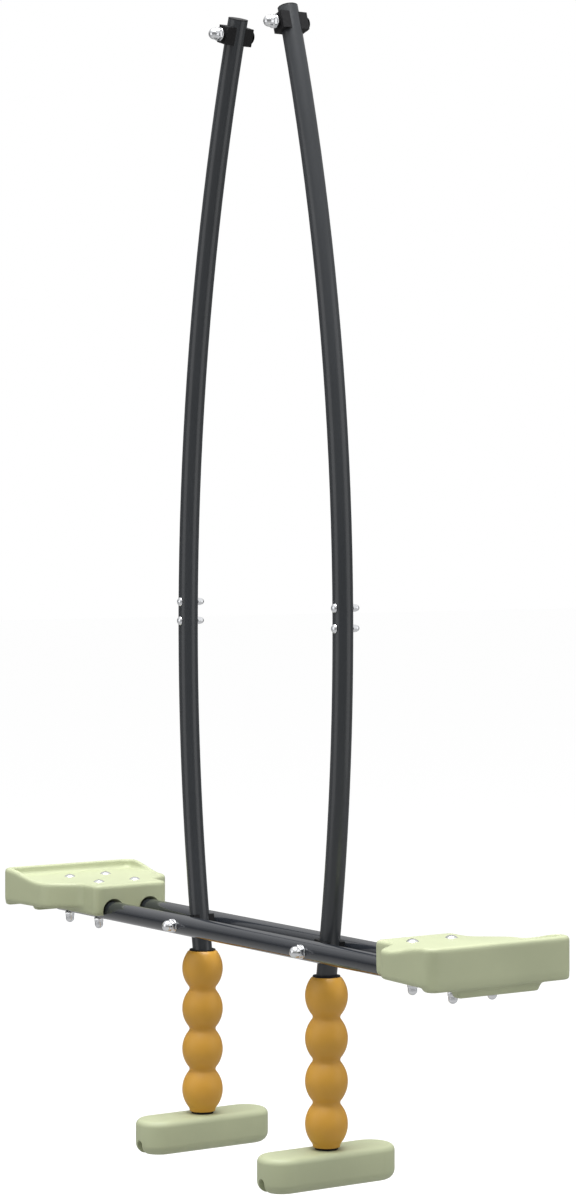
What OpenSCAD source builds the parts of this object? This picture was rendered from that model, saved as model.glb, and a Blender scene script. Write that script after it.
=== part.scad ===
// Two-seat glider seesaw that hangs from a swing-set beam.
// Two bowed hangers carry a pair of rails with a moulded seat at each end.
// X runs from seat to seat, Y across the rails, +Z up; the origin is midway between the beam pivots.

/* [Hanging] */
// Height of the beam pivots above the rail pivots
pivot_rise = 1257; // [1050:1:1500]
// Distance between the two beam pivots
top_span = 138; // [110:1:180]
// Distance between the two rail pivots
rail_pivot_span = 322; // [270:1:390]
// How far each hanger bows out from the line between its pivots
hanger_bow = 71; // [45:1:90]

/* [Tubes] */
// Outside diameter of the hanger tubes
tube_d = 28; // [24:0.5:32]
// Wall of the hanger tubes
tube_wall = 1.5; // [1.2:0.1:2.5]
// Tube left above each beam pivot
tube_over = 23; // [18:1:40]
// Height of the hanger joint above the rail pivots
joint_z = 445.5; // [300:0.5:800]
// Distance between the two bolts of a hanger joint
joint_pitch = 27.3; // [22:0.1:50]
// Length of the sleeve inside a hanger joint
sleeve_l = 60; // [50:1:90]

/* [Rails] */
// Outside diameter of the two rails
rail_d = 28; // [24:0.5:32]
// Wall of the rails
rail_wall = 2; // [1.5:0.1:3]
// Distance between the rail centrelines
rail_pitch = 62.2; // [60:0.1:80]
// Overall length of a rail
rail_l = 1006; // [960:1:1120]

/* [Pivots] */
// Diameter of the pivot bolts
pivot_bolt_d = 10; // [8:1:12]
// Wall of the bush round a pivot bolt
bush_wall = 2.5; // [2:0.1:4]
// Width of a saddle block across its hanger
saddle_w = 24; // [20:0.5:27]
// Height of a saddle block along its hanger
saddle_h = 25; // [20:0.5:32]
// Distance between the outer faces of the two beam saddles
beam_saddle_span = 42.4; // [36:0.1:50]
// Thickness of the beam bracket's ears, which the bolts leave room for
ear_t = 4.3; // [3:0.1:6]

/* [Grips and foot rests] */
// Number of beads in a grip
bead_count = 4; // [2:1:6]
// Largest diameter of a bead
bead_d = 58; // [50:1:64]
// Distance between beads
bead_pitch = 57.5; // [50:0.5:64]
// Radius of a bead's side
bead_round = 40; // [34:1:60]
// Diameter of the waist between two beads
waist_d = 37.6; // [34:0.1:44]
// Drop from a rail pivot to the top of its grip
grip_drop = 37.5; // [34:0.5:60]
// Height of the collar between grip and foot rest
foot_collar_h = 3; // [2:0.5:6]
// Length of a foot rest
foot_l = 211; // [180:1:240]
// Width of a foot rest
foot_w = 66; // [56:1:80]
// Height of a foot rest
foot_h = 48; // [40:1:60]
// Depth of the leg's socket in a foot rest
foot_socket = 34; // [26:1:36]

/* [Seats] */
// Distance from the middle to a seat's front face
seat_in = 349.5; // [320:0.5:380]
// Length of a seat
seat_l = 191.5; // [176:0.5:220]
// Width of a seat's narrow front
seat_neck_w = 124; // [116:1:136]
// Full width of a seat, at its outer end
seat_w = 232; // [200:1:260]
// Width across the wings at their shoulders
wing_w = 216; // [190:1:250]
// Height of the seat's flat top above the rail centreline
seat_top = 39; // [36:0.5:50]
// Height of the raised rim above the flat top
rim_h = 13; // [8:0.5:20]
// Width of the raised rim
rim_w = 12; // [9:0.5:16]
// Distance from the rail centreline up to the underside of a wing
wing_under = 1; // [0:0.5:6]
// How far the seat's body reaches below the rail centreline
body_under = 6.5; // [4:0.5:10]
// How far the outer end wall reaches below the rail centreline
end_under = 3.5; // [0:0.5:6]
// How far the cross rib reaches below the rail centreline
rib_under = 14.5; // [10:0.5:20]
// Distance between a seat's front and rear bolts
seat_bolt_pitch = 85.5; // [70:0.5:100]
// Distance from a seat's front face to its front bolts
seat_bolt_in = 42.7; // [36:0.1:50]

/* [Hidden] */

// Clearances
slip = 0.15;        // plug or sleeve in a tube
run = 0.05;         // bush on its pivot bolt
clear = 0.3;        // between pieces that move past each other
bolt_slack = 0.25;  // bolt in a drilled hole
e = 0.1;            // overshoot of a cut

// Tubes and rails
tube_r = tube_d / 2;
bore_r = tube_r - tube_wall;
rail_r = rail_d / 2;
rail_y = rail_pitch / 2;
rail_end = rail_l / 2;

// The hanger's arc, in the plane of the right-hand hanger
pivot_x = rail_pivot_span / 2;
step_in = (rail_pivot_span - top_span) / 2;
chord = norm([step_in, pivot_rise]);
lean = atan2(step_in, pivot_rise);
arc_r = chord * chord / (8 * hanger_bow) + hanger_bow / 2;
half_arc = asin(chord / 2 / arc_r);
a_rail = lean - half_arc;
a_beam = lean + half_arc;
arc_x = pivot_x - arc_r * cos(a_rail);
arc_z = -arc_r * sin(a_rail);
function arc_at(z) = asin((z - arc_z) / arc_r);
function swept(l) = l / arc_r * 180 / PI;
a_end = a_beam + swept(tube_over);
a_joint = arc_at(joint_z);
a_half_pitch = swept(joint_pitch / 2);
function arc_x_at(z) = arc_x + arc_r * cos(arc_at(z));

// The upright leg starts where the arc enters the grip
weld_z = -grip_drop;
leg_x = arc_x_at(weld_z);
leg_tilt = arc_at(weld_z);
function leg_lean(z) = max(0, arc_x_at(z) - leg_x) + tube_r / cos(leg_tilt) - tube_r;

// Grip and foot rest
bead_r = bead_d / 2;
waist_r = waist_d / 2;
top_bead = 25.5;    // from the top of the grip to its first bead's middle
end_bead = 31;      // from its last bead's middle to its lower end
grip_l = (bead_count - 1) * bead_pitch + end_bead + top_bead;
foot_top = -grip_drop - grip_l - foot_collar_h;
foot_r = foot_w / 2;
leg_end = foot_top - foot_socket;
foot_edge = 17;     // rounding of the foot rest's long edges
collar_wall = 4;

// Pivot hardware
pin_r = pivot_bolt_d / 2;
bush_r = pin_r + run + bush_wall;
beam_face = beam_saddle_span / 2;
rail_face = rail_y - rail_r - clear;
beam_nut_y = beam_face + ear_t;
rail_nut_y = rail_y + rail_r;
pivot_nut_af = 1.7 * pivot_bolt_d;
pivot_nut_l = 1.8 * pivot_bolt_d;
pivot_head_r = 0.98 * pivot_bolt_d;

// Small hardware
joint_bolt_r = 3;
joint_head_r = 6.2;
joint_nut_af = 10;
joint_nut_l = 12;
seat_bolt_r = 4;
seat_head_r = 8.2;
seat_nut_af = 13;
seat_nut_l = 16;
foot_screw_r = 4;
foot_head_r = 7;
leg_plug_l = 24;

// Seat
seat_x1 = seat_bolt_in + seat_in;
seat_x2 = seat_x1 + seat_bolt_pitch;
seat_out = seat_in + seat_l;
seat_r = 20;        // rounding of the seat's outer corners
channel_r = rail_r + 0.2;
mouth_r = channel_r + 3.4;
end_wall = 12;
rib_x0 = seat_out - 22;
rib_x1 = seat_out - 8;
rib_flare = 9;

ink = "#2b2e33";
steel = "#3c4147";
chrome = "#c9ccd0";
sage = "#a8ad88";
mustard = "#c08a2d";
plastic = "#191a1c";

// ---- Placing ----

// Lowers a piece from the rail pivots' level to its place under the beam
module hung() { translate([0, 0, -pivot_rise]) children(); }
// Puts a right-hand piece on the right (s = 1) or mirrors it to the left (s = -1)
module side(s) { hung() mirror([s < 0 ? 1 : 0, 0, 0]) children(); }
// A place on the hanger's arc: local Z runs up along the tube, local X outwards
module on_arc(a) {
    translate([arc_x + arc_r * cos(a), 0, arc_z + arc_r * sin(a)]) rotate([0, -a, 0]) children();
}
module along_y(y0, y1, r, fn = 48) {
    translate([0, y0, 0]) rotate([-90, 0, 0]) cylinder(r = r, h = y1 - y0, $fn = fn);
}

// ---- Tube shapes ----

module arc_tube(a0, a1, r_out, r_in) {
    translate([arc_x, 0, arc_z]) rotate([90, 0, 0]) rotate([0, 0, a0])
        rotate_extrude(angle = a1 - a0, $fn = 720) translate([arc_r, 0]) difference() {
            circle(r = r_out, $fn = 64);
            circle(r = r_in, $fn = 64);
        }
}
module arc_rod(a0, a1, r) {
    translate([arc_x, 0, arc_z]) rotate([90, 0, 0]) rotate([0, 0, a0])
        rotate_extrude(angle = a1 - a0, $fn = 720) translate([arc_r, 0]) circle(r = r, $fn = 64);
}
module leg_tube() {
    color(steel) translate([leg_x, 0, leg_end]) difference() {
        cylinder(r = tube_r, h = weld_z - leg_end, $fn = 64);
        translate([0, 0, -e]) cylinder(r = bore_r, h = weld_z - leg_end + 2 * e, $fn = 64);
    }
}

// ---- Hanger ----

module upper_tube() {
    color(steel) difference() {
        arc_tube(a_joint, a_end, tube_r, bore_r);
        on_arc(a_beam) along_y(-tube_r - e, tube_r + e, bush_r + slip);
        on_arc(a_joint + a_half_pitch) along_y(-tube_r - e, tube_r + e, joint_bolt_r + bolt_slack);
    }
}
module lower_tube() {
    color(steel) difference() {
        arc_tube(leg_tilt - swept(tube_d), a_joint, tube_r, bore_r);
        translate([leg_x - tube_d, -tube_d, weld_z - 2 * tube_d]) cube(2 * tube_d);
        on_arc(a_rail) along_y(-tube_r - e, tube_r + e, bush_r + slip);
        on_arc(a_joint - a_half_pitch) along_y(-tube_r - e, tube_r + e, joint_bolt_r + bolt_slack);
    }
}
module joint_sleeve() {
    half = swept(sleeve_l / 2);
    color(plastic) difference() {
        arc_tube(a_joint - half, a_joint + half, bore_r - slip, bore_r - slip - tube_wall);
        for (k = [-1, 1]) on_arc(a_joint + k * a_half_pitch)
            along_y(-tube_r, tube_r, joint_bolt_r + bolt_slack);
    }
}
module at_joint() { for (k = [-1, 1]) on_arc(a_joint + k * a_half_pitch) children(); }
module joint_bolts() {
    color(chrome) at_joint() {
        socket_bolt(joint_bolt_r, tube_r + run, tube_r + joint_nut_l - 4, joint_head_r, 3.6);
    }
}
module joint_nuts() {
    color(chrome) at_joint() translate([0, tube_r + run, 0]) rotate([-90, 0, 0])
        cap_nut(joint_nut_af, joint_nut_l, joint_bolt_r);
}
module tube_cap() {
    color(plastic) on_arc(a_end) {
        cylinder(r = tube_r, h = 1.2, $fn = 64);
        translate([0, 0, -10]) difference() {
            cylinder(r = bore_r - slip, h = 10, $fn = 64);
            translate([0, 0, -e]) cylinder(r = bore_r - slip - 2, h = 8, $fn = 64);
        }
    }
}

// ---- Pivots ----

// Bolt along +Y: round socket head below y0, shank to y1
module socket_bolt(r, y0, y1, head_r, head_h) {
    rotate([-90, 0, 0]) {
        translate([0, 0, -y0]) cylinder(r = r, h = y0 + y1, $fn = 48);
        translate([0, 0, -y0]) mirror([0, 0, 1]) round_head(head_r, head_h, r * 0.62);
    }
}
// Domed head standing on z = 0 with a hexagon socket
module round_head(head_r, head_h, key_r) {
    cap_r = (head_r * head_r + head_h * head_h) / (2 * head_h);
    difference() {
        rotate_extrude($fn = 64) intersection() {
            translate([0, head_h - cap_r]) circle(r = cap_r, $fn = 128);
            square([head_r, head_h]);
        }
        translate([0, 0, head_h * 0.4]) cylinder(r = key_r, h = head_h, $fn = 6);
    }
}
// Domed nut standing on z = 0: hexagon, dome and blind bore
module cap_nut(af, l, r) {
    hex_h = l * 0.42;
    dome_r = af * 0.46;
    difference() {
        union() {
            cylinder(r = af / sqrt(3), h = hex_h, $fn = 6);
            cylinder(r = dome_r, h = l - dome_r, $fn = 48);
            translate([0, 0, l - dome_r]) sphere(r = dome_r, $fn = 48);
        }
        translate([0, 0, -e]) cylinder(r = r + run, h = l * 0.72 + e, $fn = 48);
    }
}
// One saddle block: flat outside at y = -face, hollowed to hug the hanger
module saddle(face) {
    difference() {
        translate([-saddle_w / 2, -face, -saddle_h / 2]) cube([saddle_w, face - tube_r * 0.54, saddle_h]);
        along_y(-face - e, 0, bush_r + slip);
    }
}
module saddle_pair(a, face) {
    color(plastic) difference() {
        on_arc(a) {
            saddle(face);
            mirror([0, 1, 0]) saddle(face);
        }
        arc_rod(a - swept(saddle_h), a + swept(saddle_h), tube_r + run);
    }
}
module bush(a, face) {
    color(plastic) on_arc(a) difference() {
        along_y(-face, face, bush_r, 64);
        along_y(-face - e, face + e, pin_r + run, 64);
    }
}
module beam_bolt() {
    color(plastic) on_arc(a_beam) mirror([0, 1, 0])
        socket_bolt(pin_r, beam_nut_y, beam_nut_y + pivot_nut_l * 0.66, pivot_head_r, 4);
}
module beam_nut() {
    color(chrome) on_arc(a_beam) translate([0, -beam_nut_y, 0]) rotate([90, 0, 0])
        cap_nut(pivot_nut_af, pivot_nut_l, pin_r);
}
module rail_pivot_bolt() {
    color(chrome) translate([pivot_x, 0, 0]) mirror([0, 1, 0])
        socket_bolt(pin_r, rail_nut_y + run, rail_nut_y + pivot_nut_l * 0.66, pivot_head_r, 4);
}
module rail_pivot_nut() {
    color(chrome) translate([pivot_x, -rail_nut_y - run, 0]) rotate([90, 0, 0])
        cap_nut(pivot_nut_af, pivot_nut_l, pin_r);
}

// ---- Grip and foot rest ----

function bead_mid(i) = -top_bead - i * bead_pitch;
module grip() {
    hole_r = tube_r + slip;
    color(mustard) translate([leg_x, 0, -grip_drop]) rotate_extrude($fn = 96) intersection() {
        translate([hole_r, -grip_l]) square([bead_d, grip_l]);
        union() {
            translate([0, -grip_l]) square([waist_r, grip_l]);
            for (i = [0 : bead_count - 1]) translate([bead_r - bead_round, bead_mid(i)])
                circle(r = bead_round, $fn = 128);
        }
    }
}
module ring(z, h, wall) {
    hole_r = tube_r + slip + (z < weld_z ? 0 : leg_lean(z + h));
    translate([leg_x, 0, z]) difference() {
        cylinder(r = hole_r + wall, h = h, $fn = 64);
        translate([0, 0, -e]) cylinder(r = hole_r, h = h + 2 * e, $fn = 64);
    }
}
module grip_collars() {
    color(plastic) {
        ring(-grip_drop, 1.6, collar_wall);
        ring(foot_top, foot_collar_h, 1.5);
    }
}
// Capsule-shaped block along Y with rounded long edges
module foot_rest() {
    color(sage) translate([leg_x, 0, foot_top]) difference() {
        intersection() {
            translate([0, 0, -foot_h]) linear_extrude(foot_h) foot_plan();
            rotate([90, 0, 0]) translate([0, 0, -foot_l / 2]) linear_extrude(foot_l)
                rounded_rect(foot_w, foot_h, foot_edge);
            rotate([90, 0, 90]) translate([0, 0, -foot_w / 2]) linear_extrude(foot_w)
                rounded_rect(foot_l, foot_h, foot_edge);
        }
        translate([0, 0, -foot_socket]) cylinder(r = tube_r + slip, h = foot_socket + e, $fn = 64);
        translate([0, 0, -foot_h - e]) cylinder(r = foot_screw_r + bolt_slack, h = foot_h, $fn = 48);
        translate([0, 0, -foot_h - e]) cylinder(r = foot_head_r + 1, h = 6 + e, $fn = 48);
        for (k = [-1, 1]) translate([0, k * foot_l / 2, -foot_h]) rotate([90, 0, 0])
            translate([0, 4, -22]) cylinder(r = 6, h = 44, $fn = 48);
    }
}
module foot_plan() {
    hull() for (k = [-1, 1]) translate([0, k * (foot_l / 2 - foot_r)]) circle(r = foot_r, $fn = 64);
}
// Rectangle hanging below y = 0 with rounded corners
module rounded_rect(w, h, r) {
    for (k = [-1, 1]) for (y = [-r, r - h]) translate([k * (w / 2 - r), y]) circle(r = r, $fn = 64);
    translate([-w / 2, r - h]) square([w, h - 2 * r]);
    translate([r - w / 2, -h]) square([w - 2 * r, h]);
}
module leg_plug() {
    color(plastic) translate([leg_x, 0, leg_end]) difference() {
        cylinder(r = bore_r - slip, h = leg_plug_l, $fn = 64);
        translate([0, 0, -e]) cylinder(r = foot_screw_r + run, h = leg_plug_l + 2 * e, $fn = 48);
    }
}
module foot_screw() {
    under = foot_top - foot_h + 6;
    color(chrome) translate([leg_x, 0, under]) {
        cylinder(r = foot_screw_r, h = leg_end + leg_plug_l - 4 - under, $fn = 48);
        mirror([0, 0, 1]) round_head(foot_head_r, 4, 2.5);
    }
}

// ---- Rails ----

module rail(s) {
    color(ink) hung() difference() {
        translate([-rail_end, s * rail_y, 0]) rotate([0, 90, 0]) difference() {
            cylinder(r = rail_r, h = rail_l, $fn = 64);
            translate([0, 0, -e]) cylinder(r = rail_r - rail_wall, h = rail_l + 2 * e, $fn = 64);
        }
        for (k = [-1, 1]) {
            translate([k * pivot_x, s * rail_y, 0]) along_y(-rail_r - e, rail_r + e, pin_r + bolt_slack);
            for (x = [seat_x1, seat_x2]) translate([k * x, s * rail_y, -rail_r - e])
                cylinder(r = seat_bolt_r + bolt_slack, h = rail_d + 2 * e, $fn = 48);
        }
    }
}
module rail_plugs() {
    color(plastic) hung() for (k = [0, 1]) for (s = [-1, 1]) mirror([k, 0, 0])
        translate([rail_end - 10, s * rail_y, 0]) rotate([0, 90, 0]) {
            cylinder(r = rail_r - rail_wall - slip, h = 10, $fn = 64);
            translate([0, 0, 10]) cylinder(r = rail_r, h = 1.2, $fn = 64);
        }
}

// ---- Seats ----

// Points of an arc round c, from angle a0 to a1
function bow(c, r, a0, a1, n = 8) = [for (i = [0 : n]) c + r * [cos(a0 + (a1 - a0) * i / n), sin(a0 + (a1 - a0) * i / n)]];
neck = seat_neck_w / 2;
half_w = seat_w / 2;
wing_half = wing_w / 2;
shoulder_in = seat_in + 41;     // where the neck starts to widen
shoulder_out = seat_in + 75;    // where the wing reaches its full width
neck_r = 8;
waist_turn = 18;
wing_turn = 22;
// Plan of half the seat, from the middle of its front round to the middle of its back
function half_plan() = concat(
    [[seat_in, 0]],
    bow([seat_in + neck_r, neck - neck_r], neck_r, 180, 90),
    bow([shoulder_in - waist_turn * 0.4, neck + waist_turn], waist_turn, -90, -38, 6),
    bow([shoulder_out + wing_turn * 0.4, wing_half - wing_turn], wing_turn, 142, 94, 6),
    bow([seat_out - seat_r, half_w - seat_r], seat_r, 90, 0, 10),
    [[seat_out, 0]]);
module seat_plan() {
    polygon(half_plan());
    mirror([0, 1]) polygon(half_plan());
}
// Side view of the seat's top: flat, then a rise to the rim
rise_in = seat_in + 88;
rise_out = seat_in + 178;
function ease(t) = t * t * (3 - 2 * t);
function top_line() = [for (i = [0 : 12]) [rise_in + (rise_out - rise_in) * i / 12, seat_top + rim_h * ease(i / 12)]];
module seat_side() {
    polygon(concat([[seat_in, seat_top]], top_line(), [[seat_out, seat_top + rim_h], [seat_out, wing_under],
        [seat_in, wing_under]]));
}
module dish_plan() {
    half = concat([[seat_in + 60, 0], [seat_in + 60, half_w - rim_w]],
        bow([seat_out - seat_r, half_w - seat_r], seat_r - rim_w, 90, 0, 8), [[seat_out - rim_w, 0]]);
    polygon(half);
    mirror([0, 1]) polygon(half);
}
module seat() {
    color(sage) difference() {
        union() {
            intersection() {
                translate([0, 0, -body_under]) linear_extrude(seat_top + rim_h + body_under) seat_plan();
                rotate([90, 0, 0]) translate([0, 0, -half_w]) linear_extrude(seat_w) seat_side();
            }
            translate([seat_in, -neck, -body_under]) cube([seat_x2 - seat_in, seat_neck_w, body_under + wing_under + 2]);
            intersection() {
                translate([0, 0, -end_under]) linear_extrude(end_under + wing_under + 2) seat_plan();
                translate([seat_out - end_wall, -half_w, -end_under]) cube([end_wall, seat_w, seat_top]);
            }
            translate([rib_x0, 0, 0]) rotate([90, 0, 90]) linear_extrude(rib_x1 - rib_x0) rib();
        }
        translate([0, 0, seat_top]) linear_extrude(rim_h + e) dish_plan();
        for (s = [-1, 1]) {
            translate([seat_in - e, s * rail_y, 0]) rotate([0, 90, 0])
                cylinder(r = channel_r, h = rail_end + 2 - seat_in + e, $fn = 64);
            translate([seat_in - e, s * rail_y - channel_r, -body_under - e])
                cube([rail_end + 2 - seat_in + e, 2 * channel_r, body_under + e]);
            translate([seat_in - e, s * rail_y, 0]) rotate([0, 90, 0])
                cylinder(r1 = mouth_r, r2 = channel_r, h = 8, $fn = 64);
            for (x = [seat_x1, seat_x2]) translate([x, s * rail_y, 0])
                cylinder(r = seat_bolt_r + bolt_slack, h = seat_top + e, $fn = 48);
        }
    }
}
// End view of the cross rib that closes the seat's underside
module rib() {
    polygon([[-neck, -rib_under], [neck, -rib_under], [neck + rib_flare, wing_under + 2],
        [-neck - rib_flare, wing_under + 2]]);
}
module at_seat_bolts() {
    for (x = [seat_x1, seat_x2]) for (s = [-1, 1]) translate([x, s * rail_y, 0]) children();
}
module seat_bolts() {
    color(chrome) at_seat_bolts() {
        translate([0, 0, -rail_r - seat_nut_l * 0.66])
            cylinder(r = seat_bolt_r, h = rail_r + seat_nut_l * 0.66 + seat_top, $fn = 48);
        translate([0, 0, seat_top]) round_head(seat_head_r, 3.4, 2.6);
    }
}
module seat_nuts() {
    color(chrome) at_seat_bolts() translate([0, 0, -rail_r - run]) mirror([0, 0, 1])
        cap_nut(seat_nut_af, seat_nut_l, seat_bolt_r);
}

rail(-1);  // rail_front
rail(1);  // rail_rear
rail_plugs();
side(-1) seat();  // seat_left
side(1) seat();  // seat_right
side(-1) seat_bolts();  // seat_bolts_left
side(1) seat_bolts();  // seat_bolts_right
side(-1) seat_nuts();  // seat_nuts_left
side(1) seat_nuts();  // seat_nuts_right
side(-1) rail_pivot_bolt();  // rail_pivot_bolt_left
side(1) rail_pivot_bolt();  // rail_pivot_bolt_right
side(-1) rail_pivot_nut();  // rail_pivot_nut_left
side(1) rail_pivot_nut();  // rail_pivot_nut_right
side(-1) upper_tube();  // upper_tube_left
side(-1) lower_tube();  // lower_tube_left
side(-1) leg_tube();  // leg_tube_left
side(-1) joint_sleeve();  // joint_sleeve_left
side(-1) joint_bolts();  // joint_bolts_left
side(-1) joint_nuts();  // joint_nuts_left
side(-1) tube_cap();  // tube_cap_left
side(-1) bush(a_beam, beam_face);  // beam_bush_left
side(-1) saddle_pair(a_beam, beam_face);  // beam_saddles_left
side(-1) bush(a_rail, rail_face);  // rail_bush_left
side(-1) saddle_pair(a_rail, rail_face);  // rail_saddles_left
side(-1) grip();  // grip_left
side(-1) grip_collars();  // grip_collars_left
side(-1) foot_rest();  // foot_rest_left
side(-1) leg_plug();  // leg_plug_left
side(-1) foot_screw();  // foot_screw_left
side(1) upper_tube();  // upper_tube_right
side(1) lower_tube();  // lower_tube_right
side(1) leg_tube();  // leg_tube_right
side(1) joint_sleeve();  // joint_sleeve_right
side(1) joint_bolts();  // joint_bolts_right
side(1) joint_nuts();  // joint_nuts_right
side(1) tube_cap();  // tube_cap_right
side(1) bush(a_beam, beam_face);  // beam_bush_right
side(1) saddle_pair(a_beam, beam_face);  // beam_saddles_right
side(1) bush(a_rail, rail_face);  // rail_bush_right
side(1) saddle_pair(a_rail, rail_face);  // rail_saddles_right
side(1) grip();  // grip_right
side(1) grip_collars();  // grip_collars_right
side(1) foot_rest();  // foot_rest_right
side(1) leg_plug();  // leg_plug_right
side(1) foot_screw();  // foot_screw_right
side(-1) beam_bolt();  // beam_bolt_left
side(-1) beam_nut();  // beam_nut_left
side(1) beam_bolt();  // beam_bolt_right
side(1) beam_nut();  // beam_nut_right
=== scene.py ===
import math

import bpy
from mathutils import Matrix, Vector


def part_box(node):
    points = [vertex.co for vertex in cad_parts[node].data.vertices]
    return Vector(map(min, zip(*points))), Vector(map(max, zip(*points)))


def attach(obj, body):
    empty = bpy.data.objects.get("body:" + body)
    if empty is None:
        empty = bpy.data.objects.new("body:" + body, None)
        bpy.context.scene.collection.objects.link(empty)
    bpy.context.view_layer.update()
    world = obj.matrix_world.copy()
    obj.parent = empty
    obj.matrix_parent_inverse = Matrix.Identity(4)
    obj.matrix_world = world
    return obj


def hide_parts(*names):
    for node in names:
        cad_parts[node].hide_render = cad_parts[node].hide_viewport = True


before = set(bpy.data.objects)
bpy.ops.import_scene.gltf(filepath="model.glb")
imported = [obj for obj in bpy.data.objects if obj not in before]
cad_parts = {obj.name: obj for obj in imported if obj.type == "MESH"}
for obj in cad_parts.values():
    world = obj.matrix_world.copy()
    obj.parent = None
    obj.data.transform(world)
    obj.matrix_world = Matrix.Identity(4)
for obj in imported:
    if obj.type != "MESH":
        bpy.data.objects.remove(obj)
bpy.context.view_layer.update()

mm = 0.001

# ---- Studio ----
# A plain pale floor under the hanging glider, a white room and three soft lights: one broad
# panel overhead, one by the camera and one low fill. The camera stands level with the hangers' middle.
scene = bpy.context.scene
scene.view_settings.view_transform = "Standard"
EYE, EYE_TURN, LENS, SENSOR = (3.6124, -2.4039, -0.6747), 55.94, 93.85, 36
bpy.ops.object.camera_add(location=EYE, rotation=(math.radians(90), 0, math.radians(EYE_TURN)))
camera = bpy.context.object
camera.data.lens = LENS
camera.data.sensor_width = SENSOR
camera.data.shift_x = 0.0021
camera.data.shift_y = -0.0700
camera.data.clip_end = 60
scene.camera = camera

room = bpy.data.worlds.new("white_room")
room.use_nodes = True
room_nodes, room_links = room.node_tree.nodes, room.node_tree.links
backdrop = room_nodes["Background"]
backdrop.inputs["Color"].default_value = (1, 1, 1, 1)
walls = room_nodes.new("ShaderNodeBackground")
room_coords = room_nodes.new("ShaderNodeTexCoord")
height = room_nodes.new("ShaderNodeSeparateXYZ")
room_links.new(room_coords.outputs["Generated"], height.inputs["Vector"])
fall = room_nodes.new("ShaderNodeValToRGB")
stops = fall.color_ramp.elements
stops[0].position, stops[0].color = 0.0, (0.10, 0.10, 0.10, 1)
stops[1].position, stops[1].color = 0.75, (0.95, 0.95, 0.95, 1)
room_links.new(height.outputs["Z"], fall.inputs["Fac"])
room_links.new(fall.outputs["Color"], walls.inputs["Color"])
seen = room_nodes.new("ShaderNodeLightPath")
choose = room_nodes.new("ShaderNodeMixShader")
room_links.new(seen.outputs["Is Camera Ray"], choose.inputs["Fac"])
room_links.new(walls.outputs["Background"], choose.inputs[1])
room_links.new(backdrop.outputs["Background"], choose.inputs[2])
room_links.new(choose.outputs["Shader"], room_nodes["World Output"].inputs["Surface"])
scene.world = room

FLOOR_Z, FLOOR_SIZE = -1.95, 60
bpy.ops.mesh.primitive_plane_add(size=FLOOR_SIZE, location=(0, 0, FLOOR_Z))
floor = bpy.context.object
floor.name = "floor"
bpy.ops.object.transform_apply(location=True, rotation=True, scale=True)
floor_paint = bpy.data.materials.new("pale_floor")
floor_paint.use_nodes = True
floor_nodes, floor_links = floor_paint.node_tree.nodes, floor_paint.node_tree.links
floor_shader = floor_nodes["Principled BSDF"]
floor_shader.inputs["Base Color"].default_value = (0.34, 0.34, 0.34, 1)
floor_shader.inputs["Roughness"].default_value = 0.9
floor_shader.inputs["Specular IOR Level"].default_value = 0.0
floor_shader.inputs["Emission Color"].default_value = (1, 1, 1, 1)
direct = floor_nodes.new("ShaderNodeLightPath")
lift = floor_nodes.new("ShaderNodeMapRange")
lift.inputs["To Max"].default_value = 0.72
floor_links.new(direct.outputs["Is Camera Ray"], lift.inputs["Value"])
floor_links.new(lift.outputs["Result"], floor_shader.inputs["Emission Strength"])
floor.data.materials.append(floor_paint)


def panel(name, place, aim, size, power):
    """A square soft light at place, turned towards aim."""
    bpy.ops.object.light_add(type="AREA", location=place)
    lamp = bpy.context.object
    lamp.name = name
    lamp.data.size = size
    lamp.data.energy = power
    lamp.rotation_euler = (Vector(aim) - Vector(place)).to_track_quat("-Z", "Y").to_euler()


SIDE_AIM, PANEL_SIZE, SIDE_POWER = (0, 0, -0.7), 2.6, 20
panel("overhead_panel", (0.3, -0.3, 2.4), (0, 0, -1.2), PANEL_SIZE, 205)
panel("right_panel", (2.9, 1.9, -0.4), SIDE_AIM, PANEL_SIZE, SIDE_POWER)
panel("left_panel", (-0.6, -3.5, -0.4), SIDE_AIM, PANEL_SIZE, SIDE_POWER)


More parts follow.
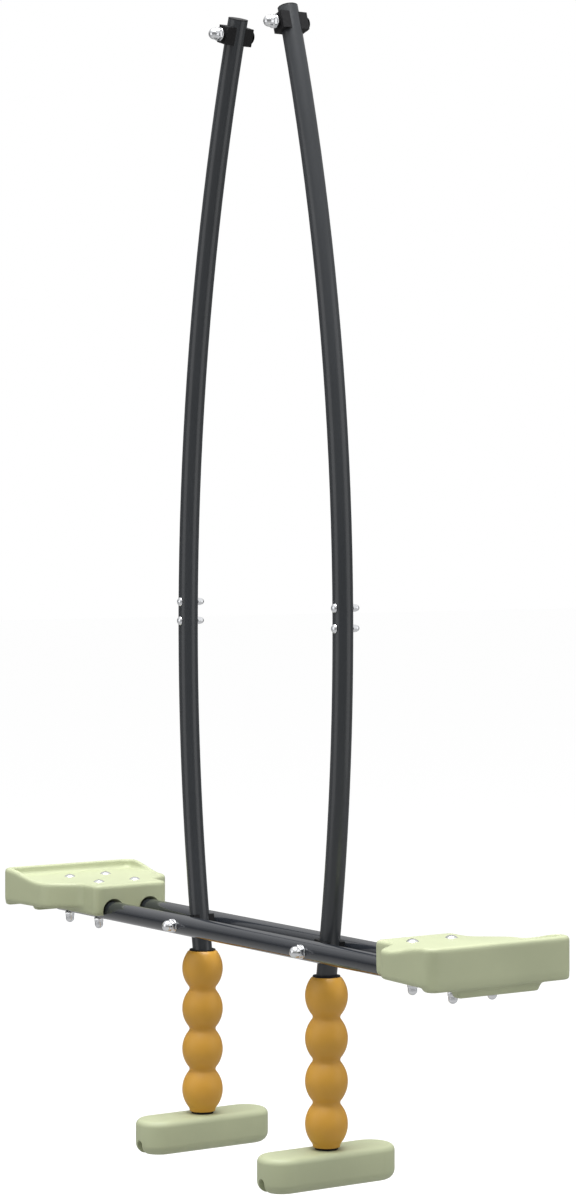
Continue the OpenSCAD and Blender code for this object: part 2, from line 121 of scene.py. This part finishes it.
# ---- Powder-coated tubes ----
# The hangers are 28 mm steel tube, powder coated in a satin anthracite with a faint orange-peel
# surface. The tubes are the bent and drilled ones of the design; only their finish is added here.
def finish_of(name, colour, rough, bump, grain, tint=0.06):
    """A moulded or coated finish: base colour that drifts a little, uneven gloss and a fine grain."""
    mat = bpy.data.materials.new(name)
    mat.use_nodes = True
    nodes, links = mat.node_tree.nodes, mat.node_tree.links
    shader = nodes["Principled BSDF"]
    coords = nodes.new("ShaderNodeTexCoord")
    drift = nodes.new("ShaderNodeTexNoise")
    drift.inputs["Scale"].default_value = 9
    drift.inputs["Detail"].default_value = 4
    links.new(coords.outputs["Object"], drift.inputs["Vector"])
    ramp = nodes.new("ShaderNodeValToRGB")
    ramp.color_ramp.elements[0].position = 0.3
    ramp.color_ramp.elements[1].position = 0.7
    ramp.color_ramp.elements[0].color = [c * (1 - tint) for c in colour] + [1]
    ramp.color_ramp.elements[1].color = [min(1, c * (1 + tint)) for c in colour] + [1]
    links.new(drift.outputs["Fac"], ramp.inputs["Fac"])
    links.new(ramp.outputs["Color"], shader.inputs["Base Color"])
    fine = nodes.new("ShaderNodeTexNoise")
    fine.inputs["Scale"].default_value = grain
    fine.inputs["Detail"].default_value = 3
    links.new(coords.outputs["Object"], fine.inputs["Vector"])
    gloss = nodes.new("ShaderNodeMapRange")
    gloss.inputs["To Min"].default_value = rough * 0.85
    gloss.inputs["To Max"].default_value = rough * 1.15
    links.new(fine.outputs["Fac"], gloss.inputs["Value"])
    links.new(gloss.outputs["Result"], shader.inputs["Roughness"])
    relief = nodes.new("ShaderNodeBump")
    relief.inputs["Strength"].default_value = bump
    relief.inputs["Distance"].default_value = 0.0002
    links.new(fine.outputs["Fac"], relief.inputs["Height"])
    links.new(relief.outputs["Normal"], shader.inputs["Normal"])
    return mat


def coat(mat, *names):
    """Gives CAD nodes this finish."""
    for name in names:
        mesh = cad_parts[name].data
        mesh.materials.clear()
        mesh.materials.append(mat)


SIDES = ("left", "right")
hanger_paint = finish_of("hanger_powder_coat", (0.028, 0.031, 0.035), 0.30, 0.12, 900)
hanger_paint.node_tree.nodes["Principled BSDF"].inputs["Coat Weight"].default_value = 0.15
for side in SIDES:
    coat(hanger_paint, *[tube + "_" + side for tube in ("upper_tube", "lower_tube", "leg_tube")])


# ---- Rails ----
# Two straight 28 mm steel tubes with a glossier, bluer coat than the hangers. Their plugged ends
# lie in channels under the seats, and the seat bolts pass through them.
rail_paint = finish_of("rail_gloss_coat", (0.018, 0.021, 0.027), 0.13, 0.05, 700)
rail_paint.node_tree.nodes["Principled BSDF"].inputs["Coat Weight"].default_value = 0.5
rail_paint.node_tree.nodes["Principled BSDF"].inputs["Coat Roughness"].default_value = 0.08
coat(rail_paint, "rail_front", "rail_rear")


# ---- Black plastic ----
# Saddle blocks, bushes, sleeves, caps, plugs and collars are moulded in dull black polyamide.
# The top pivot bolts are steel with a black finish and pass across through tube and saddles.
black_plastic = finish_of("black_polyamide", (0.012, 0.012, 0.013), 0.55, 0.25, 1400)
black_plastic.node_tree.nodes["Principled BSDF"].inputs["Specular IOR Level"].default_value = 0.15
coat(black_plastic, "rail_plugs")
for side in SIDES:
    coat(black_plastic, *[part + "_" + side for part in (
        "joint_sleeve", "tube_cap", "beam_bush", "beam_saddles", "rail_bush", "rail_saddles",
        "grip_collars", "leg_plug")])
black_steel = finish_of("black_zinc_steel", (0.018, 0.018, 0.02), 0.32, 0.1, 1100)
black_steel.node_tree.nodes["Principled BSDF"].inputs["Metallic"].default_value = 0.6
for side in SIDES:
    coat(black_steel, "beam_bolt_" + side)


# ---- Bright fasteners ----
# Bolts and domed nuts are bright zinc-plated steel. The nuts at the pivots and under the seats
# are made here, with a washer face, chamfered flats and a ball dome. The rest keep their shape.
bright_zinc = finish_of("bright_zinc", (0.80, 0.81, 0.83), 0.2, 0.05, 1600, 0.03)
bright_zinc.node_tree.nodes["Principled BSDF"].inputs["Metallic"].default_value = 1.0
for side in SIDES:
    coat(bright_zinc, *[part + "_" + side for part in (
        "joint_bolts", "joint_nuts", "seat_bolts", "rail_pivot_bolt", "foot_screw")])


def deselect():
    """Leaves nothing selected, in object mode."""
    if bpy.context.object and bpy.context.object.mode != "OBJECT":
        bpy.ops.object.mode_set(mode="OBJECT")
    bpy.ops.object.select_all(action="DESELECT")


def pick(obj):
    """Makes obj the one selected and active object."""
    deselect()
    obj.select_set(True)
    bpy.context.view_layer.objects.active = obj


def domed_nut(flats, length):
    """A domed nut standing on Z = 0: washer face, hexagon with chamfered corners, ball dome."""
    deselect()
    hex_h = length * 0.40
    dome_r = flats * 0.47
    bpy.ops.mesh.primitive_cylinder_add(vertices=6, radius=flats / math.sqrt(3), depth=hex_h,
                                        location=(0, 0, hex_h / 2))
    hexagon = bpy.context.object
    bpy.ops.object.transform_apply(location=True)
    chamfer = hexagon.modifiers.new("chamfer", "BEVEL")
    chamfer.width = flats * 0.06
    chamfer.segments = 3
    chamfer.limit_method = "ANGLE"
    bpy.ops.object.modifier_apply(modifier="chamfer")
    bpy.ops.mesh.primitive_uv_sphere_add(segments=40, ring_count=20, radius=dome_r,
                                         location=(0, 0, length - dome_r))
    dome = bpy.context.object
    bpy.ops.object.transform_apply(location=True)
    bpy.ops.object.mode_set(mode="EDIT")
    bpy.ops.mesh.select_all(action="SELECT")
    bpy.ops.mesh.bisect(plane_co=(0, 0, length - dome_r), plane_no=(0, 0, 1), clear_inner=True)
    skirt = length - dome_r - hex_h * 0.8
    bpy.ops.mesh.extrude_region_move(TRANSFORM_OT_translate={"value": (0, 0, -skirt)})
    bpy.ops.mesh.edge_face_add()
    bpy.ops.mesh.select_all(action="SELECT")
    bpy.ops.mesh.normals_make_consistent(inside=False)
    bpy.ops.object.mode_set(mode="OBJECT")
    bpy.ops.mesh.primitive_cylinder_add(vertices=48, radius=flats * 0.56, depth=length * 0.09,
                                        location=(0, 0, length * 0.045))
    washer = bpy.context.object
    bpy.ops.object.transform_apply(location=True)
    soften = washer.modifiers.new("soften", "BEVEL")
    soften.width = length * 0.02
    soften.segments = 2
    bpy.ops.object.modifier_apply(modifier="soften")
    pick(hexagon)
    dome.select_set(True)
    washer.select_set(True)
    bpy.ops.object.join()
    bpy.ops.object.shade_smooth_by_angle(angle=math.radians(32))
    return hexagon


def set_nuts(name, pattern, node, body, spots, turn):
    """Copies a nut to each spot, joins the copies and puts them in place of a CAD node."""
    copies = []
    for spot in spots:
        copy = pattern.copy()
        copy.data = pattern.data.copy()
        bpy.context.collection.objects.link(copy)
        copy.data.transform(Matrix.Translation(Vector(spot)) @ turn)
        copies.append(copy)
    deselect()
    for copy in copies:
        copy.select_set(True)
    bpy.context.view_layer.objects.active = copies[0]
    if len(copies) > 1:
        bpy.ops.object.join()
    nuts = bpy.context.view_layer.objects.active
    nuts.name = name
    nuts.data.materials.clear()
    nuts.data.materials.append(bright_zinc)
    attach(nuts, body)
    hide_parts(node)


M10_FLATS, M10_LENGTH = 17 * mm, 18 * mm
M8_FLATS, M8_LENGTH = 13 * mm, 16 * mm
to_front = Matrix.Rotation(math.radians(90), 4, "X")
downwards = Matrix.Rotation(math.radians(180), 4, "X")
m10_nut = domed_nut(M10_FLATS, M10_LENGTH)
m8_nut = domed_nut(M8_FLATS, M8_LENGTH)
for side in SIDES:
    for node, body in (("beam_nut_" + side, "beam_bolt_" + side),
                       ("rail_pivot_nut_" + side, "seat_frame")):
        low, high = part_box(node)
        spot = ((low[0] + high[0]) / 2, high[1], (low[2] + high[2]) / 2)
        set_nuts("domed_" + node, m10_nut, node, body, [spot], to_front)
    low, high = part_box("seat_nuts_" + side)
    across_x, across_y = M8_FLATS / math.sqrt(3), M8_FLATS / 2
    spots = [(x, y, high[2]) for x in (low[0] + across_x, high[0] - across_x)
             for y in (low[1] + across_y, high[1] - across_y)]
    set_nuts("domed_seat_nuts_" + side, m8_nut, "seat_nuts_" + side, "seat_frame", spots, downwards)
for pattern in (m10_nut, m8_nut):
    bpy.data.objects.remove(pattern)


# ---- Beaded grips ----
# One mustard moulding slid over each leg: four fat beads with filleted waists, a short neck at the
# bottom and a bore for the tube. Turned ring by ring from its top edge down.
grip_plastic = finish_of("mustard_moulding", (0.63, 0.325, 0.038), 0.45, 0.18, 1200)
BEAD_R, BEAD_SIDE, WAIST_FILLET = 29 * mm, 40 * mm, 5 * mm
BEAD_PITCH, TOP_BEAD, BEADS = 57.5 * mm, 25.5 * mm, 4
NECK_R, GRIP_EDGE = 18 * mm, 1.5 * mm


def bead_radius(depth):
    """Radius of the grip at a depth below its top edge."""
    nearest = min(BEADS - 1, max(0, round((depth - TOP_BEAD) / BEAD_PITCH)))
    off = abs(depth - TOP_BEAD - nearest * BEAD_PITCH)
    last = nearest == BEADS - 1 and depth > TOP_BEAD + nearest * BEAD_PITCH
    centre = BEAD_R - BEAD_SIDE
    half = BEAD_PITCH / 2
    fillet_r = math.sqrt((BEAD_SIDE + WAIST_FILLET) ** 2 - half ** 2) + centre
    if off <= half * BEAD_SIDE / (BEAD_SIDE + WAIST_FILLET):
        return centre + math.sqrt(BEAD_SIDE ** 2 - off ** 2)
    if last and off > half:
        return fillet_r - WAIST_FILLET
    return fillet_r - math.sqrt(WAIST_FILLET ** 2 - (half - off) ** 2)


for side in SIDES:
    low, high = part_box("grip_" + side)
    axis_x, top, length = (low[0] + high[0]) / 2, high[2], high[2] - low[2]
    leg_low, leg_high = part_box("leg_tube_" + side)
    bore = (leg_high[0] - leg_low[0]) / 2 + 0.15 * mm
    deselect()
    start = bead_radius(0) - GRIP_EDGE
    bpy.ops.mesh.primitive_circle_add(vertices=96, radius=start, location=(0, 0, 0))
    grip = bpy.context.object
    grip.name = "beaded_grip_" + side
    stations = [GRIP_EDGE * (1 - math.cos(a * math.pi / 8)) for a in range(1, 4)]
    radii = [start + GRIP_EDGE * math.sin(a * math.pi / 8) for a in range(1, 4)]
    steps = 96
    for i in range(steps + 1):
        depth = GRIP_EDGE + (length - 2 * GRIP_EDGE) * i / steps
        stations.append(depth)
        radii.append(bead_radius(depth))
    for a in range(1, 5):
        stations.append(length - GRIP_EDGE * (1 - math.sin(a * math.pi / 8)))
        radii.append(bead_radius(length) - GRIP_EDGE * (1 - math.cos(a * math.pi / 8)))
    bpy.ops.object.mode_set(mode="EDIT")
    depth_now, radius_now = 0.0, start
    for depth, radius in zip(stations, radii):
        bpy.ops.mesh.extrude_region_move(TRANSFORM_OT_translate={"value": (0, 0, depth_now - depth)})
        scale = radius / radius_now
        bpy.ops.transform.resize(value=(scale, scale, 1))
        depth_now, radius_now = depth, radius
    for depth, radius in ((length, bore), (0, bore)):
        bpy.ops.mesh.extrude_region_move(TRANSFORM_OT_translate={"value": (0, 0, depth_now - depth)})
        scale = radius / radius_now
        bpy.ops.transform.resize(value=(scale, scale, 1))
        depth_now, radius_now = depth, radius
    bpy.ops.mesh.select_mode(type="EDGE")
    bpy.ops.mesh.select_all(action="DESELECT")
    bpy.ops.mesh.select_non_manifold()
    bpy.ops.mesh.bridge_edge_loops()
    bpy.ops.mesh.select_all(action="SELECT")
    bpy.ops.mesh.remove_doubles(threshold=0.00001)
    bpy.ops.mesh.normals_make_consistent(inside=False)
    bpy.ops.object.mode_set(mode="OBJECT")
    grip.data.transform(Matrix.Translation((axis_x, 0, top)))
    bpy.ops.object.shade_smooth_by_angle(angle=math.radians(40))
    grip.data.materials.append(grip_plastic)
    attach(grip, "hanger_" + side)
    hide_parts("grip_" + side)


# ---- Foot rests ----
# A moulded block in sage plastic across the foot of each leg. It has round ends, soft edges, a
# socket for the leg, a hole for the screw from below and an arched notch under each end.
sage_plastic = finish_of("sage_moulding", (0.43, 0.465, 0.295), 0.5, 0.3, 1000)
FOOT_TOP_EDGE, FOOT_UNDER_EDGE, FOOT_END = 9 * mm, 14 * mm, 32.5 * mm
NOTCH_W, NOTCH_H, NOTCH_L = 13 * mm, 20 * mm, 22 * mm
SCREW_HEAD_R, SCREW_HEAD_ROOM, SCREW_HOLE_R, SCREW_REACH = 8 * mm, 12 * mm, 4.3 * mm, 60 * mm


def cut(body, cutter, how="DIFFERENCE"):
    """Cuts body with cutter, or joins them, and throws the cutter away."""
    pick(body)
    tool = body.modifiers.new("cut", "BOOLEAN")
    tool.operation = how
    tool.solver = "EXACT"
    tool.object = cutter
    bpy.ops.object.modifier_apply(modifier="cut")
    bpy.data.objects.remove(cutter)


def block(low, high):
    """A box between two corners, its place in its mesh."""
    deselect()
    size = [h - l for l, h in zip(low, high)]
    middle = [(l + h) / 2 for l, h in zip(low, high)]
    bpy.ops.mesh.primitive_cube_add(size=1, location=middle, scale=size)
    box = bpy.context.object
    bpy.ops.object.transform_apply(location=True, rotation=True, scale=True)
    return box


def round_edges(box, wanted, width, segments):
    """Bevels the edges of box for which wanted(middle, direction) is true."""
    pick(box)
    bpy.ops.object.mode_set(mode="EDIT")
    bpy.ops.mesh.select_mode(type="EDGE")
    bpy.ops.mesh.select_all(action="DESELECT")
    bpy.ops.object.mode_set(mode="OBJECT")
    for edge in box.data.edges:
        a, b = (box.data.vertices[v].co for v in edge.vertices)
        edge.select = bool(wanted((a + b) / 2, (b - a).normalized()))
    bpy.ops.object.mode_set(mode="EDIT")
    bpy.ops.mesh.bevel(offset=width, segments=segments, profile=0.5, affect="EDGES")
    bpy.ops.object.mode_set(mode="OBJECT")


def rod(place, radius, length, axis, sides=64):
    """A cylinder centred on place along X, Y or Z."""
    deselect()
    turn = {"X": (0, math.radians(90), 0), "Y": (math.radians(90), 0, 0), "Z": (0, 0, 0)}[axis]
    bpy.ops.mesh.primitive_cylinder_add(vertices=sides, radius=radius, depth=length, location=place,
                                        rotation=turn)
    bar = bpy.context.object
    bpy.ops.object.transform_apply(location=True, rotation=True, scale=True)
    return bar


for side in SIDES:
    low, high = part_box("foot_rest_" + side)
    leg_low, leg_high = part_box("leg_tube_" + side)
    axis_x = (leg_low[0] + leg_high[0]) / 2
    foot = block(low, high)
    foot.name = "moulded_foot_rest_" + side
    round_edges(foot, lambda mid, way: abs(way.z) > 0.9, FOOT_END, 12)
    round_edges(foot, lambda mid, way: abs(way.z) < 0.1 and mid.z > high[2] - mm, FOOT_TOP_EDGE, 8)
    round_edges(foot, lambda mid, way: abs(way.z) < 0.1 and mid.z < low[2] + mm, FOOT_UNDER_EDGE, 8)
    cut(foot, rod((axis_x, 0, high[2]), (leg_high[0] - leg_low[0]) / 2 + 0.2 * mm,
                  2 * (high[2] - leg_low[2]), "Z"))
    cut(foot, rod((axis_x, 0, low[2]), SCREW_HEAD_R, SCREW_HEAD_ROOM, "Z", 48))
    cut(foot, rod((axis_x, 0, low[2]), SCREW_HOLE_R, SCREW_REACH, "Z", 48))
    for end in (low[1], high[1]):
        inner = end + (NOTCH_L if end < 0 else -NOTCH_L)
        outer = end - (NOTCH_L if end < 0 else -NOTCH_L)
        y0, y1 = sorted((inner, outer))
        cut(foot, block((axis_x - NOTCH_W / 2, y0, low[2] - NOTCH_H), (axis_x + NOTCH_W / 2, y1,
                        low[2] + NOTCH_H - NOTCH_W / 2)))
        arch = (axis_x, (y0 + y1) / 2, low[2] + NOTCH_H - NOTCH_W / 2)
        cut(foot, rod(arch, NOTCH_W / 2, y1 - y0, "Y", 32))
    pick(foot)
    bpy.ops.object.shade_smooth_by_angle(angle=math.radians(35))
    foot.data.materials.append(sage_plastic)
    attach(foot, "hanger_" + side)
    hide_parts("foot_rest_" + side)


# ---- Seats ----
# Each seat is one sage moulding: a narrow front over the two rails, shoulders out to wide wings,
# and a flat dish with a rim that rises round the outer end. Blocks are joined, cut, remeshed and
# smoothed until every edge is soft. Then the rail channels, their mouths and the bolt holes are cut.
RIM_W, RIM_START, RIM_END = 12 * mm, 88 * mm, 178 * mm
SHOULDER_IN, SHOULDER_OUT = 41 * mm, 75 * mm
NECK_HALF, WING_HALF = 62 * mm, 108 * mm
SEAT_FLAT, WING_UNDER, BODY_UNDER = 39 * mm, 1 * mm, -6.5 * mm
RIB_UNDER, RIB_FRONT, RIB_BACK, RIB_FLARE = -14.5 * mm, 22 * mm, 8 * mm, 13 * mm
END_UNDER, END_WALL, END_INSET, END_CORNER = -3.5 * mm, 20 * mm, 4 * mm, 11.9 * mm
FRONT_CORNER, HOLLOW_CORNER, WING_CORNER, END_ROUND = 9 * mm, 10 * mm, 12 * mm, 19 * mm
NECK_INSET, NECK_STOP, DISH_START, DISH_CORNER, DISH_FILLET = 0.3 * mm, 62 * mm, 60 * mm, 12 * mm, 7 * mm
RAIL_SLACK, CHANNEL_STOP, MOUTH_FLARE, MOUTH_L = 0.3 * mm, 38 * mm, 4.2 * mm, 9 * mm
BOLT_HEAD_R, BOLT_HOLE_R = 8.2 * mm, 4.3 * mm
EDGE_R, VOXEL = 5 * mm, 1.5 * mm
pattern_low, pattern_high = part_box("seat_right")
rail_low, rail_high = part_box("rail_front")
axle_z = (rail_low[2] + rail_high[2]) / 2
rail_y = abs(rail_low[1] + rail_high[1]) / 2
rail_r = (rail_high[2] - rail_low[2]) / 2
seat_in, seat_out, half_w = pattern_low[0], pattern_high[0], pattern_high[1]
flat_z, rim_z = axle_z + SEAT_FLAT, pattern_high[2]

wing = block((seat_in, -NECK_HALF, axle_z + WING_UNDER), (seat_in + SHOULDER_IN, NECK_HALF, flat_z))
wing.name = "seat_moulding"
bpy.ops.object.mode_set(mode="EDIT")
bpy.ops.mesh.select_mode(type="FACE")
bpy.ops.mesh.select_all(action="DESELECT")
bpy.ops.object.mode_set(mode="OBJECT")
for face in wing.data.polygons:
    face.select = face.normal.x > 0.9
bpy.ops.object.mode_set(mode="EDIT")
here, width = SHOULDER_IN, NECK_HALF
for further, wider in ((SHOULDER_OUT, WING_HALF), (seat_out - seat_in, half_w)):
    bpy.ops.mesh.extrude_region_move(TRANSFORM_OT_translate={"value": (further - here, 0, 0)})
    bpy.ops.transform.resize(value=(1, wider / width, 1), center_override=(0, 0, 0))
    here, width = further, wider
bpy.ops.mesh.select_all(action="SELECT")
bpy.ops.mesh.dissolve_limited(angle_limit=math.radians(1))
bpy.ops.object.mode_set(mode="OBJECT")
for further, soft in ((0, FRONT_CORNER), (SHOULDER_IN, HOLLOW_CORNER), (SHOULDER_OUT, WING_CORNER),
                      (seat_out - seat_in, END_ROUND)):
    round_edges(wing, lambda mid, way: abs(way.z) > 0.9 and abs(mid.x - seat_in - further) < mm, soft, 8)

round_edges(wing, lambda mid, way: abs(way.z) < 0.1 and mid.z > flat_z - mm, EDGE_R, 5)
round_edges(wing, lambda mid, way: abs(way.z) < 0.1 and mid.z < axle_z + WING_UNDER + mm, EDGE_R, 5)

# The moulding is sliced across, and its top is lifted slice by slice into a soft S for the rim.
bpy.ops.object.mode_set(mode="EDIT")
SLICES = 20
for i in range(SLICES + 1):
    x = seat_in + RIM_START + (RIM_END - RIM_START) * i / SLICES
    bpy.ops.mesh.select_all(action="SELECT")
    bpy.ops.mesh.bisect(plane_co=(x, 0, 0), plane_no=(1, 0, 0))
bpy.ops.object.mode_set(mode="OBJECT")
for vert in wing.data.vertices:
    if vert.co.z > axle_z + 20 * mm:
        t = min(1, max(0, (vert.co.x - seat_in - RIM_START) / (RIM_END - RIM_START)))
        vert.co.z += (rim_z - flat_z) * t * t * (3 - 2 * t)

neck = block((seat_in + NECK_INSET, NECK_INSET - NECK_HALF, axle_z + BODY_UNDER),
             (seat_out - NECK_STOP, NECK_HALF - NECK_INSET, axle_z + 20 * mm))
round_edges(neck, lambda mid, way: abs(way.z) > 0.9 and mid.x < seat_in + mm, FRONT_CORNER, 8)
round_edges(neck, lambda mid, way: abs(way.z) < 0.1 and mid.z < axle_z, EDGE_R, 5)
cut(wing, neck, "UNION")
rib = block((seat_out - RIB_FRONT, -NECK_HALF, axle_z + RIB_UNDER),
            (seat_out - RIB_BACK, NECK_HALF, axle_z + 8 * mm))
bpy.ops.object.mode_set(mode="EDIT")
bpy.ops.mesh.select_mode(type="FACE")
bpy.ops.mesh.select_all(action="DESELECT")
bpy.ops.object.mode_set(mode="OBJECT")
for face in rib.data.polygons:
    face.select = face.normal.z > 0.9
bpy.ops.object.mode_set(mode="EDIT")
bpy.ops.transform.resize(value=(1, 1 + RIB_FLARE / NECK_HALF, 1), center_override=(0, 0, 0))
bpy.ops.object.mode_set(mode="OBJECT")
cut(wing, rib, "UNION")
end_wall = block((seat_out - END_WALL, END_INSET - half_w, axle_z + END_UNDER),
                 (seat_out - 0.5 * mm, half_w - END_INSET, axle_z + 14 * mm))
round_edges(end_wall, lambda mid, way: abs(way.z) > 0.9 and mid.x > seat_out - mm, END_CORNER, 8)
round_edges(end_wall, lambda mid, way: abs(way.z) < 0.1 and mid.z < axle_z, 3.5 * mm, 4)
cut(wing, end_wall, "UNION")

dish = block((seat_in + DISH_START, -half_w + RIM_W, flat_z),
             (seat_out - RIM_W, half_w - RIM_W, rim_z + 20 * mm))
round_edges(dish, lambda mid, way: abs(way.z) > 0.9 and mid.x > seat_out - 20 * mm, DISH_CORNER, 6)
round_edges(dish, lambda mid, way: abs(way.z) < 0.1 and mid.z < flat_z + mm, DISH_FILLET, 5)
cut(wing, dish)

pick(wing)
remesh = wing.modifiers.new("remesh", "REMESH")
remesh.mode = "VOXEL"
remesh.voxel_size = VOXEL
bpy.ops.object.modifier_apply(modifier="remesh")
soft = wing.modifiers.new("soft", "SMOOTH")
soft.factor = 0.5
soft.iterations = 16
bpy.ops.object.modifier_apply(modifier="soft")

for y in (-rail_y, rail_y):
    channel = rod(((seat_in + seat_out) / 2 - 25 * mm, y, axle_z), rail_r + RAIL_SLACK,
                  seat_out - seat_in, "X")
    cut(wing, channel)
    cut(wing, block((seat_in - 20 * mm, y - rail_r - RAIL_SLACK, axle_z - 30 * mm),
                    (seat_out - CHANNEL_STOP, y + rail_r + RAIL_SLACK, axle_z)))
    deselect()
    bpy.ops.mesh.primitive_cone_add(vertices=64, radius1=rail_r + MOUTH_FLARE, radius2=rail_r + 0.1 * mm,
                                    depth=MOUTH_L, location=(seat_in + 4 * mm, y, axle_z),
                                    rotation=(0, math.radians(90), 0))
    mouth = bpy.context.object
    bpy.ops.object.transform_apply(location=True, rotation=True, scale=True)
    cut(wing, mouth)
bolt_low, bolt_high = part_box("seat_bolts_right")
for x in (bolt_low[0] + BOLT_HEAD_R, bolt_high[0] - BOLT_HEAD_R):
    for y in (bolt_low[1] + BOLT_HEAD_R, bolt_high[1] - BOLT_HEAD_R):
        cut(wing, rod((x, y, flat_z), BOLT_HOLE_R, 60 * mm, "Z", 32))
pick(wing)
bpy.ops.object.shade_smooth_by_angle(angle=math.radians(50))

for side in SIDES:
    seat = wing.copy()
    seat.data = wing.data.copy()
    bpy.context.collection.objects.link(seat)
    seat.name = "moulded_seat_" + side
    if side == "left":
        seat.data.transform(Matrix.Scale(-1, 4, (1, 0, 0)))
        seat.data.flip_normals()
    seat.data.materials.clear()
    seat.data.materials.append(sage_plastic)
    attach(seat, "seat_frame")
    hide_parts("seat_" + side)
bpy.data.objects.remove(wing)
